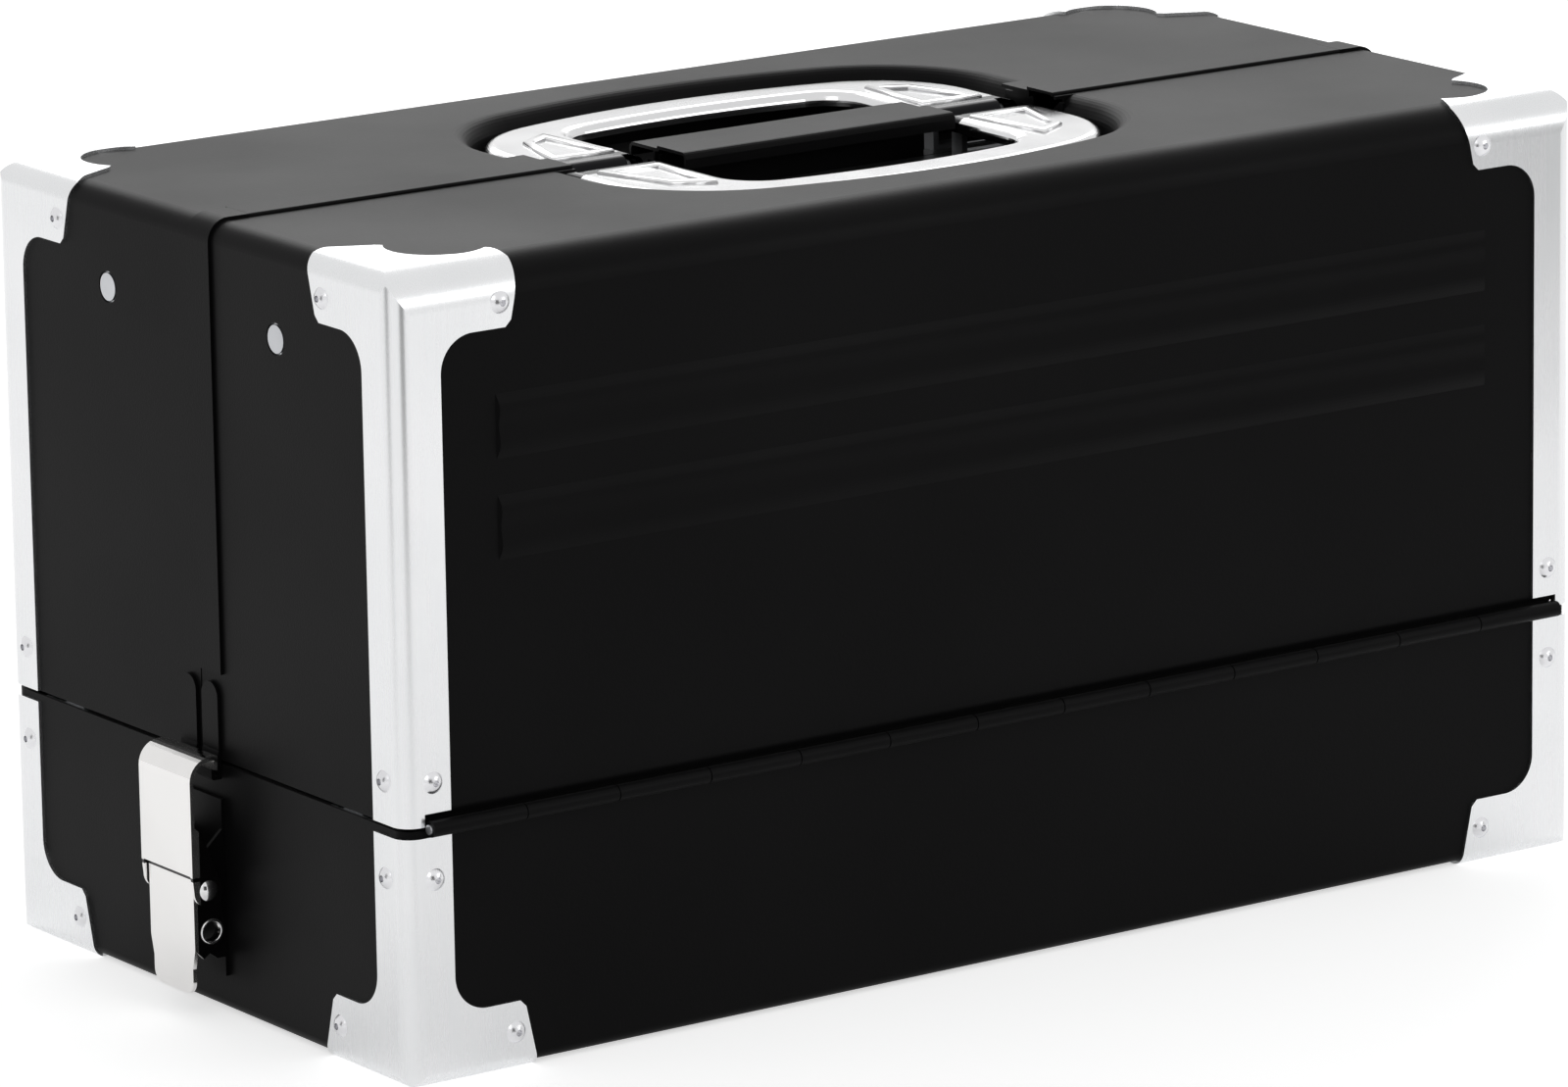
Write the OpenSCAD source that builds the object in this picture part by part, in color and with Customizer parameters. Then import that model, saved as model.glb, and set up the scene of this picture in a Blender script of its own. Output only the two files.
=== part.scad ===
// Two-way hard tool case: a pressed steel base with two lids that fold out from the centre seam,
// a folding carrying handle in each lid, a draw latch at each end and a level tray under each lid.
// Units are millimetres. Z is up, X runs along the case, and the front long side faces -Y.
// The origin is on the ground under the middle of the case.

/* [Case] */
// Overall length over the corner guards
case_l = 433; // [400:1:470]
// Overall depth over the corner guards
case_w = 220; // [214:1:240]
// Overall height over the corner guards
case_h = 240; // [236:1:260]
// Height of the hinge axes above the ground
split_z = 77.2; // [72:0.1:84]
// Thickness of the body sheet
sheet = 1; // [0.8:0.1:1.2]
// Radius of the upright corners of the body
corner_r = 5; // [4:0.5:7]
// Radius of the bend between the top and each long side
top_r = 12; // [10:0.5:13]
// Radius of the bend between the top and each end
end_r = 6; // [5:0.5:7]
// Radius of the bend round the floor
floor_r = 3; // [2.5:0.5:4]

/* [Corner guards] */
// Thickness of the guard sheet
guard_t = 1; // [0.8:0.1:1.2]
// Width of the upright strip of a guard
guard_strip = 16.2; // [15:0.1:19]
// Reach of a guard's arm from the corner
guard_arm = 40.4; // [39:0.1:50]
// Drop of a guard's arm below the top of the case
guard_drop = 20.5; // [19.5:0.1:24]
// Radius of the fillet between strip and arm
guard_fillet = 11; // [6:0.5:14]
// Distance of the arm rivets from the corner
rivet_arm = 36.8; // [34:0.1:37]
// Distance of the strip rivets from the corner
rivet_strip = 10.3; // [9.5:0.1:11]
// Radius of a rivet's domed head
rivet_head_r = 3.3; // [2.8:0.1:3.6]
// Radius of a rivet's shank
rivet_r = 1.6; // [1.2:0.1:2]

/* [Pressed ribs] */
// Length of each rib
rib_l = 365; // [300:1:370]
// Width of each rib
rib_w = 19; // [14:0.5:22]
// Height of a rib above the side
rib_h = 1.3; // [0.8:0.1:1.8]
// Depth of the upper rib's middle below the top of the case
rib_drop = 49.2; // [44:0.1:54]
// Spacing between the two ribs
rib_pitch = 29.6; // [25:0.1:34]

/* [Hinges] */
// Number of knuckles along each hinge
knuckles = 13; // [9:2:15]
// Outer radius of the hinge barrel
barrel_r = 2.4; // [2.3:0.1:2.6]
// Radius of the hinge pin
hinge_pin_r = 1.45; // [1.2:0.05:1.5]
// Thickness of a hinge leaf
leaf_t = 0.8; // [0.6:0.1:0.9]

/* [Handles] */
// Half of the length of a handle
grip_half = 87; // [82:0.5:90]
// Reach of a handle from the seam
grip_reach = 72; // [68:0.5:76]
// Radius of the handle's corners
grip_corner_r = 39; // [30:0.5:42]
// Radius of the handle's long bow
grip_bow_r = 234; // [200:1:300]
// Width of the bow in plan
grip_w = 17; // [15:0.5:19]
// Thickness of the handle's plate
grip_t = 1.6; // [1.2:0.1:1.8]
// Depth of the bow's rolled edges
grip_edge = 4.4; // [4:0.1:5]
// Depth of the handle's top below the lid's top
grip_sink = 2.8; // [2.4:0.1:3.2]
// Depth of the handle pan below the lid's top
pan_depth = 15.5; // [15.2:0.1:16]
// Radius of a handle's pivot rod
rod_r = 2; // [1.6:0.1:2.1]

/* [Seam] */
// Distance from the seam to the front edge of the seam strip
strip_reach = 12.4; // [11:0.1:13]
// Height of the foot of the seam strip's legs above the ground
strip_foot_z = 104; // [103:1:112]
// Half of the length of the bridge between the handles
bridge_half = 50; // [46:0.5:50.5]

/* [Latches] */
// Width of a latch's hook plate
hook_w = 28.6; // [28:0.1:30]
// Height of the line between hook and lever above the ground
latch_line_z = 44.8; // [44:0.1:46]
// Height of the top of the hook above the ground
hook_top_z = 80.5; // [79.5:0.1:82]
// Height of the tip of the lever above the ground
lever_tip_z = 8; // [6:0.5:10]
// Distance of a latch's face from the end wall
latch_out = 13.9; // [13.7:0.1:14.5]
// Thickness of the latch sheet
latch_t = 1.2; // [1:0.1:1.3]
// Radius of the padlock hole
padlock_r = 3; // [2.5:0.1:3.1]

/* [Trays] */
// Depth of a tray's pivot below the top of the case
pivot_drop = 29.7; // [26:0.1:34]
// Distance of a tray's pivot from the seam
pivot_y = 46.5; // [44:0.1:49]
// Distance of an arm's lower pin in from the hinge axis
anchor_in = 31.6; // [29.6:0.1:33.6]
// Depth of an arm's lower pin below the hinge axis
anchor_drop = 5.2; // [5:0.1:6.2]
// Depth of a tray below its pivot
tray_drop = 42; // [30:1:44]
// Width of an arm
arm_w = 9; // [8:0.5:9.5]
// Thickness of an arm
arm_t = 1.8; // [1.4:0.1:2]
// Radius of the tray and arm pins
pin_r = 2.5; // [2:0.1:2.6]

/* [Hidden] */
$fn = 48;

// Running clearance round every pin, and the gap between faces that pass each other
run = 0.05;
gap = 0.3;
eps = 0.01;
// Half sizes of the body inside the guards, and the heights of its floor and top
body_x = case_l / 2 - guard_t;
body_y = case_w / 2 - guard_t;
body_z0 = guard_t;
body_z1 = case_h - guard_t;
// A length longer than the case, for cuts that run right through
far = 2 * case_l;

// Half of the length of a lid's wrap, which stops short of the bends at the ends
wrap_half = body_x - end_r - 0.5;
rib_z = case_h - rib_drop;

// Hinge: the leaves lie flat between the rim of the base and the foot of the lids
leaf_gap = 0.1;
leaf_w = 10;
knuckle_gap = 0.4;
hinge_y = body_y + barrel_r + 0.2;
hinge_half = wrap_half - 0.35;
knuckle_l = 2 * hinge_half / knuckles;
rim_z = split_z - leaf_gap / 2 - leaf_t;
lid_foot_z = split_z + leaf_gap / 2 + leaf_t;
end_foot_z = split_z + 0.4;
// Bend and width of the flange along the foot of each lid's long side
foot_r = 4;
flange_w = 9;

// Seam: the lids meet at half this gap each side of the middle
seam_gap = 0.6;
// The front lid's top stops short of the strip and steps down under it
step_y = strip_reach + 0.5;
step_drop = 2.4;
step_slope = 0.75;
step_end = 2;
strip_lip = 0.3;
strip_root = 1;
tongue_w = 8;
// The end caps' tabs under the wraps, and the strip's leg, which runs in over the tabs
tab_l = 6;
leg_top = tab_l + 1;

// Handle recess, measured outward from the handle's outline
pan_clear = 4;
pan_lip_r = 6;
pan_edge = pan_clear + pan_lip_r;
pan_floor_r = 3;
pan_flange = 6;
notch_half = grip_half + 2;
notch_y = 14;
floor_z = body_z1 - pan_depth;
pan_half = grip_half + pan_clear + sheet;
grip_top_z = body_z1 - grip_sink;
grip_open_half = 53;
grip_open_r = 14;
grip_open_bow_r = 269;
shoulder_r = 3.2;
// Pivot rods of the handles: the plate curls round the rod between the two ears of each bracket
curl_r = 4.45;
rod_y = 7.5;
rod_z = grip_top_z - curl_r;
ear_t = 2;
ear_r = 2.7;
ear_x0 = grip_open_half + shoulder_r - 0.2;
ear_x1 = grip_half - grip_t - 1.9;
curl_x0 = ear_x0 + ear_t + gap;
curl_x1 = ear_x1 - ear_t - gap;
// Raised frame pressed on each pad
frame_h = 0.6;
frame_pts = [[-57.5, -12.8], [-79.5, -12.6], [-72, -39], [-60.5, -46]];
// Bridge between the handles
bridge_z = body_z1;
bridge_step = 0.8;
bridge_reach = 15;
bridge_foot_z = body_z1 - 5;

// Latch geometry, measured from the end wall outward
latch_face = body_x + latch_out;
hook_in = body_x + 4.2;
hook_bend = 7;
lever_w = 24.8;
lever_tip_w = 21.8;
lever_face = latch_face - 1.3;
lever_axis_x = latch_face - 4.5;
lever_axis_z = latch_line_z + 3.4;
hook_axis_x = lever_axis_x - 1;
hook_axis_z = lever_axis_z - 8;
cheek_w = lever_w - 3.2;
padlock_x = latch_face - 7.2;
padlock_z = 27;
bracket_foot_z = 12;
bracket_top_z = latch_line_z + 21.2;
latch_pin_r = 1.8;
latch_boss_r = 2.9;
catch_w = 8.8;
catch_y = 1.6;
catch_t = 1.2;
catch_z0 = 72;
catch_z1 = 101;
catch_out = 3.9;

// Trays hang on the lids at one pin and are kept level by the arms: the arm's pins lie off the
// hinge and the tray's pivot by the same amount
pivot_z = case_h - pivot_drop;
anchor_y = hinge_y - anchor_in;
anchor_z = split_z - anchor_drop;
arm_top_y = pivot_y - anchor_in;
arm_top_z = pivot_z - anchor_drop;
arm_out = body_x - sheet - 1.5;
arm_len = sqrt(pow(anchor_y - arm_top_y, 2) + pow(arm_top_z - anchor_z, 2));
arm_angle = atan2(arm_top_z - anchor_z, anchor_y - arm_top_y);
open_run = 0.08;
anchor_t = 1.2;
anchor_w = 24;
anchor_h = 26.4;
tray_t = 1;
tray_half = arm_out - arm_t - 0.9;
tray_y0 = 3.5;
tray_y1 = pivot_y + 10.5;
tray_z0 = pivot_z - tray_drop;
tray_z1 = pivot_z + 5;
pivot_head_r = 4.2;
pivot_hole_r = 4.9;

// Colours
black = [0.16, 0.16, 0.17];
bright = [0.82, 0.83, 0.85];
chrome = [0.9, 0.9, 0.92];
zinc = [0.62, 0.63, 0.65];

// Points along an arc
function arc(cx, cy, r, a0, a1, n = 8) = [for (i = [0:n]) let (a = a0 + (a1 - a0) * i / n)
    [cx + r * cos(a), cy + r * sin(a)]];

// Rectangle with rounded corners, from its corner coordinates
module rounded(x0, y0, x1, y1, r) {
    translate([x0 + r, y0]) square([x1 - x0 - 2 * r, y1 - y0]);
    translate([x0, y0 + r]) square([x1 - x0, y1 - y0 - 2 * r]);
    for (x = [x0 + r, x1 - r], y = [y0 + r, y1 - r]) translate([x, y]) circle(r);
}

// Outline of the body with one radius at the top and another at the floor
module body_outline(half, top, grow) {
    rt = top + grow;
    rb = floor_r + grow;
    z0 = body_z0 - grow;
    z1 = body_z1 + grow;
    w = half + grow;
    translate([-w, z0 + rb]) square([2 * w, z1 - z0 - rt - rb]);
    translate([-w + rt, z0 + rb]) square([2 * (w - rt), z1 - z0 - rb]);
    translate([-w + rb, z0]) square([2 * (w - rb), z1 - z0 - rt]);
    for (s = [-1, 1]) {
        translate([s * (w - rt), z1 - rt]) circle(rt);
        translate([s * (w - rb), z0 + rb]) circle(rb);
    }
}

// Turn an outline drawn in Y and Z into a bar along X, and one drawn in X and Z into a bar along Y
module along_x(x0, x1) translate([x0, 0, 0]) rotate([90, 0, 90]) linear_extrude(x1 - x0) children();
module along_y(y0, y1) translate([0, y1, 0]) rotate([90, 0, 0]) linear_extrude(y1 - y0) children();
module along_z(z0, z1) translate([0, 0, z0]) linear_extrude(z1 - z0) children();

// Box from corner to corner
module box(a, b) translate(a) cube(b - a);

// The whole body as a solid block, grown or shrunk by an amount
module block(grow) {
    r = corner_r + grow;
    x = body_x + grow;
    y = body_y + grow;
    intersection() {
        along_x(-x, x) body_outline(body_y, top_r, grow);
        along_y(-y, y) body_outline(body_x, end_r, grow);
        along_z(0, case_h) rounded(-x, -y, x, y, r);
    }
}

// Sheet skin of the body between two offsets
module skin(outer, inner) {
    difference() {
        block(outer);
        block(inner);
    }
}

// Copy to the other end, or to the other long side
module both_ends() {
    children();
    mirror([1, 0, 0]) children();
}
module to_rear() mirror([0, 1, 0]) children();
module to_right() mirror([1, 0, 0]) children();
module both_sides() {
    children();
    mirror([0, 1, 0]) children();
}

// Place along a guard rivet on the front left corner: outward is +Z of the child
module on_front(from_corner, z) translate([from_corner - case_l / 2, -body_y, z]) rotate([90, 0, 0]) children();
module on_end(from_corner, z) translate([-body_x, from_corner - case_w / 2, z]) rotate([0, -90, 0]) children();

// A rivet beside the bend along the top keeps its bulge this far off the sheet
bend_gap = 0.3;
lid_rivet_z = [case_h - 13.1, split_z + 13.1];
base_rivet_z = [11.3, split_z - 15.6];
module at_rivets(arm_z, strip_z) {
    on_front(rivet_arm, arm_z) children();
    on_front(rivet_strip, strip_z) children();
    on_end(rivet_arm, arm_z) children();
    on_end(rivet_strip, strip_z) children();
}
module lid_rivets_at() at_rivets(lid_rivet_z[0], lid_rivet_z[1]) children();
module base_rivets_at() at_rivets(base_rivet_z[0], base_rivet_z[1]) children();
module rivet_hole() translate([0, 0, -3 * sheet]) cylinder(h = 5 * sheet, r = rivet_r + run);

// Blind rivet: domed head with the hole left by its mandrel, shank and the bulge inside
module rivet(depth) {
    head_h = 1.6;
    dome_r = (rivet_head_r * rivet_head_r + head_h * head_h) / (2 * head_h);
    rotate_extrude() difference() {
        union() {
            intersection() {
                translate([0, guard_t + head_h - dome_r]) circle(dome_r);
                translate([0, guard_t]) square([rivet_head_r, head_h]);
            }
            translate([0, -depth - 0.9]) square([rivet_r, guard_t + depth + 1]);
            translate([0, -depth - 0.9]) square([rivet_r + 0.6, 0.9]);
        }
        translate([0, guard_t - 0.4]) square([1, 3]);
        translate([-rivet_head_r, -10]) square([rivet_head_r, 20]);
    }
}

// ---------------------------------------------------------------- base

module base_shell() color(black) difference() {
    union() {
        intersection() {
            skin(0, -sheet);
            box([-far, -far, 0], [far, far, rim_z]);
        }
        // folded hem round the inside of the rim at the ends
        intersection() {
            skin(-sheet, -1.9 * sheet);
            both_ends() box([-far, -far, rim_z - 12], [-body_x + corner_r, far, rim_z]);
            box([-far, -anchor_y + anchor_w / 2 + 1, 0], [far, anchor_y - anchor_w / 2 - 1, far]);
        }
        // flange turned in along both long sides, under the hinge leaves
        for (s = [-1, 1])
            box([-hinge_half, s * (body_y - (s > 0 ? flange_w : 0)) , rim_z - sheet],
                [hinge_half, s * (body_y - (s > 0 ? 0 : flange_w)), rim_z]);
    }
    both_ends() both_sides() base_rivets_at() rivet_hole();
}

// Guard face outline in its corner's own frame: distance from the corner across, and distance
// from the closed edge of the case along. The strip runs on to `length`.
module guard_face(length, slant) {
    difference() {
        union() {
            translate([-2, -2]) square([guard_strip + 2, length + 2]);
            polygon([[-2, -2], [guard_arm + slant, -2], [guard_arm + slant * 0.55, guard_drop * 0.35],
                [guard_arm, guard_drop - 2], [guard_arm - 2, guard_drop], [-2, guard_drop]]);
            translate([guard_strip - 1, guard_drop - 1]) square(guard_fillet + 1);
        }
        translate([guard_strip + guard_fillet, guard_drop + guard_fillet]) circle(guard_fillet);
    }
}

// Guard outline on the flat top or underside: two ears with a scoop between them
module guard_cap() {
    scoop = 26.5;
    reach_x = guard_arm + 5;
    difference() {
        polygon([[-2, -2], [reach_x + 1, -2], [guard_arm + 1.6, 13.7], [18.5, guard_arm - 3.4], [-2, reach_x + 2]]);
        translate([scoop + 6, scoop]) circle(15);
    }
}

module from_edge(up) {
    if (up == 1) mirror([0, 1, 0]) children();
    if (up == 0) children();
}

// One guard on the front left corner. up = 1 for a lid guard, 0 for a base guard.
module guard(up) {
    edge_z = up == 1 ? case_h : 0;
    length = up == 1 ? case_h - end_foot_z : split_z - 2.9;
    color(bright) difference() {
        intersection() {
            skin(guard_t, 0);
            along_y(-far, 0) translate([-case_l / 2, edge_z]) from_edge(up) guard_face(length, 4.4);
            along_x(-far, 0) translate([-case_w / 2, edge_z]) from_edge(up) guard_face(length, 5.4);
            along_z(-1, case_h + 1) translate([-case_l / 2, -case_w / 2]) guard_cap();
        }
        if (up == 1) {
            // clearance over the hinge on the long side
            box([-case_l / 2 + 7.2, -far, -1], [0, -body_y + eps, split_z + 4.1]);
            lid_rivets_at() rivet_hole();
        }
        if (up == 0) base_rivets_at() rivet_hole();
    }
}
module base_left_front_guard() guard(0);
module base_right_front_guard() to_right() guard(0);
module base_left_rear_guard() to_rear() guard(0);
module base_right_rear_guard() to_rear() to_right() guard(0);
module base_guard_rivets() color(bright)
    both_ends() both_sides() base_rivets_at() rivet(sheet);

// Hinge leaf with every second knuckle. side = 1 for the base leaf, -1 for the lid leaf.
module hinge_leaf(side) {
    z0 = side > 0 ? rim_z : split_z + leaf_gap / 2;
    first = side > 0 ? 0 : 1;
    color(black) difference() {
        union() {
            box([-hinge_half, -body_y - 0.15 + gap, z0], [hinge_half, -body_y + leaf_w, z0 + leaf_t]);
            for (i = [first:2:knuckles - 1]) {
                x0 = -hinge_half + i * knuckle_l + knuckle_gap / 2;
                x1 = x0 + knuckle_l - knuckle_gap;
                along_x(x0, x1) translate([-hinge_y, split_z]) circle(barrel_r);
                box([x0, -hinge_y, z0], [x1, -body_y + leaf_w, z0 + leaf_t]);
            }
        }
        along_x(-far, far) translate([-hinge_y, split_z]) circle(hinge_pin_r + run);
    }
}
module hinge_pin() color(zinc)
    along_x(-hinge_half - 0.6, hinge_half + 0.6) translate([-hinge_y, split_z]) circle(hinge_pin_r);
module front_hinge_base_leaf() hinge_leaf(1);
module rear_hinge_base_leaf() to_rear() hinge_leaf(1);
module front_hinge_lid_leaf() hinge_leaf(-1);
module rear_hinge_lid_leaf() to_rear() hinge_leaf(-1);
module front_hinge_pin() hinge_pin();
module rear_hinge_pin() to_rear() hinge_pin();

// ---------------------------------------------------------------- lids

// Two crests with a shallow valley between them
function rib_height(a) = rib_h * (sin(a) + 0.35 * sin(3 * a));
module rib_outline(lift) {
    n = 20;
    polygon(concat([for (i = [0:n]) [-rib_height(180 * i / n) - lift, rib_w * (i / n - 0.5)]],
        [[0.6 - lift, rib_w / 2], [0.6 - lift, -rib_w / 2]]));
}
module rib(half, lift) intersection() {
    along_x(-half, half) translate([-body_y, 0]) rib_outline(lift);
    along_z(-rib_w, rib_w) polygon([[-half, -body_y + 2], [-half + 2 * rib_h, -body_y - 2 * rib_h],
        [half - 2 * rib_h, -body_y - 2 * rib_h], [half, -body_y + 2]]);
}
module ribs(half, lift) for (z = [rib_z, rib_z - rib_pitch]) translate([0, 0, z]) rib(half, lift);

// Profile of the front lid's wrap in Y and Z: foot flange, long side, top, and the step at the seam
module wrap_outline(stepped) {
    intersection() {
        difference() {
            body_outline(body_y, top_r, 0);
            body_outline(body_y, top_r, -sheet);
        }
        translate([-far, lid_foot_z + foot_r]) square([far - (stepped ? step_y : strip_root), far]);
    }
    difference() {
        translate([-body_y + foot_r, lid_foot_z + foot_r]) circle(foot_r);
        translate([-body_y + foot_r, lid_foot_z + foot_r]) circle(foot_r - sheet);
        translate([-far, lid_foot_z + foot_r]) square(2 * far);
        translate([-body_y + foot_r, -far]) square(2 * far);
    }
    translate([-body_y + foot_r - eps, lid_foot_z]) square([flange_w - foot_r, sheet]);
    if (stepped) {
        top = body_z1 - step_drop;
        run_y = step_y - step_end;
        polygon([[-step_y - sheet, body_z1 - sheet], [-step_y - sheet, top - sheet * 0.7],
            [-step_end, top - run_y * step_slope - sheet * 1.25], [-step_end, top - run_y * step_slope],
            [-step_y, top], [-step_y, body_z1]]);
    }
}

// Cut that gives the rear lid's strip room over the front lid
module step_cut() along_x(-far, far) polygon([[-step_y, far], [-step_y, body_z1 - step_drop],
    [2, body_z1 - step_drop - (step_y + 2) * step_slope], [2, far]]);

// Outlines made of a long bow, two corners and two straight ends square to the seam, each given as
// [bow radius, corner radius, half length, reach from the seam], and grown by an amount. The whole
// figures chosen for them put every tangent point exactly where the pieces meet.
grip = [grip_bow_r, grip_corner_r, grip_half, grip_reach];
grip_open = [grip_open_bow_r, grip_open_r, grip_open_half, grip_reach - grip_w];
function corner_at(o) = [o[2] - o[1], sqrt(pow(o[0] - o[1], 2) - pow(o[2] - o[1], 2)) - o[0] + o[3]];
module bow_wedge(o) {
    c = corner_at(o);
    top = o[0] - o[3];
    polygon([[0, top], [-1.5 * c[0], top - 1.5 * (top + c[1])], [1.5 * c[0], top - 1.5 * (top + c[1])]]);
}
module bow_outline(o, grow) {
    c = corner_at(o);
    intersection() {
        union() {
            intersection() {
                translate([0, o[0] - o[3]]) circle(o[0] + grow, $fn = 180);
                bow_wedge(o);
            }
            for (s = [-1, 1]) translate([s * c[0], -c[1]]) circle(o[1] + grow);
            translate([-o[2] - grow, -c[1]]) square([2 * (o[2] + grow), c[1]]);
        }
        translate([-far, -far]) square([2 * far, far]);
    }
}
module grip_outline(grow) bow_outline(grip, grow);
module grip_open_outline(grow) bow_outline(grip_open, grow);

// Opening in a lid's top for its handle, narrower beside the seam
module recess_outline(grow) {
    difference() {
        grip_outline(grow);
        for (s = [-1, 1]) translate([s > 0 ? notch_half : -notch_half - far, -notch_y]) square([far, notch_y]);
    }
}

module lid_shell(stepped) color(black) difference() {
    union() {
        along_x(-wrap_half, wrap_half) wrap_outline(stepped);
        ribs(rib_l / 2, 0);
    }
    ribs(rib_l / 2 - sheet, -sheet);
    along_z(body_z1 - 40, far) recess_outline(pan_edge);
    if (stepped)
        box([-pan_half - gap, -step_y - sheet - eps, body_z1 - 40], [pan_half + gap, 0, body_z1 - sheet]);
    both_ends() lid_rivets_at() rivet_hole();
}
module front_lid_shell() lid_shell(true);
module rear_lid_shell() to_rear() lid_shell(false);

// End cap of a lid: end wall, the bends round it and a joggled tab under the wrap
module lid_end() color(black) difference() {
    union() {
        intersection() {
            skin(0, -sheet);
            box([-far, -far, end_foot_z], [-wrap_half, -seam_gap / 2, far]);
        }
        intersection() {
            skin(-sheet, -2 * sheet);
            box([-wrap_half - 2, -far, lid_foot_z + foot_r + 2], [-wrap_half + tab_l, -step_y - 1.6, far]);
        }
    }
    translate([-body_x, -pivot_y, pivot_z]) rotate([0, 90, 0])
        cylinder(h = 3 * sheet, r = pivot_hole_r, center = true);
    lid_rivets_at() rivet_hole();
}
module front_lid_left_end() lid_end();
module front_lid_right_end() to_right() lid_end();
module rear_lid_left_end() to_rear() lid_end();
module rear_lid_right_end() to_rear() to_right() lid_end();

module front_lid_left_guard() guard(1);
module front_lid_right_guard() to_right() guard(1);
module rear_lid_left_guard() to_rear() guard(1);
module rear_lid_right_guard() to_rear() to_right() guard(1);
module lid_guard_rivets() color(bright) both_ends() {
    on_front(rivet_arm, lid_rivet_z[0]) rivet(sheet + bend_gap);
    on_front(rivet_strip, lid_rivet_z[1]) rivet(2 * sheet);
    on_end(rivet_arm, lid_rivet_z[0]) rivet(sheet);
    on_end(rivet_strip, lid_rivet_z[1]) rivet(sheet);
}
module front_lid_guard_rivets() lid_guard_rivets();
module rear_lid_guard_rivets() to_rear() lid_guard_rivets();

// Catch on a lid's end wall: a round-topped tab whose foot turns out and up under the latch hook
module latch_catch() intersection() {
    along_y(-catch_y - catch_w, -catch_y) polygon([
        [-body_x, catch_z1], [-body_x - catch_t, catch_z1], [-body_x - catch_t, end_foot_z + 3],
        [-body_x - catch_t - 0.4, end_foot_z + 1.5], [-body_x - catch_t - 0.4, catch_z0 + catch_t],
        [-body_x - catch_out + catch_t, catch_z0 + catch_t], [-body_x - catch_out + catch_t, catch_z0 + 3.5],
        [-body_x - catch_out, catch_z0 + 3.5], [-body_x - catch_out, catch_z0 + 0.6],
        [-body_x - catch_out + 0.6, catch_z0], [-body_x - 0.4, catch_z0],
        [-body_x - 0.4, end_foot_z + 1], [-body_x, end_foot_z + 2.5]]);
    along_x(-far, far) union() {
        translate([-catch_y - catch_w, 0]) square([catch_w, catch_z1 - catch_w / 2]);
        translate([-catch_y - catch_w / 2, catch_z1 - catch_w / 2]) circle(catch_w / 2);
    }
}
module front_latch_catches() color(black) both_ends() latch_catch();
module rear_latch_catches() color(black) to_rear() both_ends() latch_catch();

// Rolled lip of the recess, in distance outward from the handle's outline and height
module lip_outline() {
    z = body_z1 - pan_lip_r;
    polygon(concat(
        [[pan_edge + pan_flange, body_z1 - 2 * sheet], [pan_edge + pan_flange, body_z1 - sheet],
            [pan_edge, body_z1 - sheet], [pan_edge, body_z1]],
        arc(pan_edge, z, pan_lip_r, 90, 180),
        [[pan_clear, z - 1], [pan_clear + sheet, z - 1]],
        arc(pan_edge, z, pan_lip_r - sheet, 180, 122, 5),
        [[pan_edge - 0.6, body_z1 - 2 * sheet]]));
}

// Sweep a section along the bow, its corners and its straight ends as far as straight_to
module bow_sweep(o, straight_to) {
    c = corner_at(o);
    intersection() {
        translate([0, o[0] - o[3], 0]) rotate_extrude($fn = 240) translate([o[0], 0]) children();
        along_z(0, far) bow_wedge(o);
    }
    both_ends() {
        difference() {
            translate([-c[0], -c[1], 0]) rotate_extrude() translate([o[1], 0]) children();
            along_z(0, far) bow_wedge(o);
            box([-far, -c[1], 0], [far, far, far]);
        }
        translate([-o[2], -c[1], 0]) rotate([90, 0, 180])
            linear_extrude(c[1] - straight_to) children();
    }
}

// Handle pan: rolled lip, upright wall, floor and a flange turned down along the seam
module handle_pan() {
    bow_sweep(grip, notch_y) lip_outline();
    along_z(floor_z - sheet, body_z1 - pan_lip_r) difference() {
        grip_outline(pan_clear + sheet);
        grip_outline(pan_clear);
        translate([-far, -seam_gap / 2]) square(2 * far);
    }
    along_z(floor_z - sheet, floor_z) difference() {
        grip_outline(pan_clear + sheet);
        translate([-far, -seam_gap / 2]) square(2 * far);
    }
    both_ends() box([-pan_half, -notch_y - 1, body_z1 - pan_lip_r - 1],
        [-pan_half + sheet, -seam_gap / 2, body_z1 - 2 * sheet - 0.2]);
    box([-pan_half, -seam_gap / 2 - sheet, floor_z - 4], [pan_half, -seam_gap / 2, floor_z]);
}
module front_handle_pan() color(black) difference() {
    handle_pan();
    step_cut();
}
// The rear pan carries the bridge on a wall beside the seam
module rear_handle_pan() color(black) to_rear() {
    handle_pan();
    box([-bridge_half + 1, -seam_gap / 2 - sheet, floor_z - 1], [bridge_half - 1, -seam_gap / 2, bridge_z - 3]);
}

// Bracket on the pan's floor that carries one end of a handle: two ears with a base between them
module handle_bracket() difference() {
    union() {
        for (x = [ear_x0, ear_x1 - ear_t]) {
            along_x(-x - ear_t, -x) translate([-rod_y, rod_z]) circle(ear_r);
            box([-x - ear_t, -rod_y - ear_r, floor_z], [-x, -rod_y + ear_r, rod_z]);
        }
        box([-ear_x1, -rod_y - ear_r, floor_z], [-ear_x0, -rod_y + ear_r, floor_z + 1.4]);
    }
    along_x(-far, 0) translate([-rod_y, rod_z]) circle(rod_r + run);
}
module handle_rod() along_x(-ear_x1 - 0.4, -ear_x0 + 0.2) translate([-rod_y, rod_z]) circle(rod_r);
module front_handle_brackets() color(zinc) both_ends() handle_bracket();
module rear_handle_brackets() color(zinc) to_rear() both_ends() handle_bracket();
module front_handle_rods() color(zinc) both_ends() handle_rod();
module rear_handle_rods() color(zinc) to_rear() both_ends() handle_rod();

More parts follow.
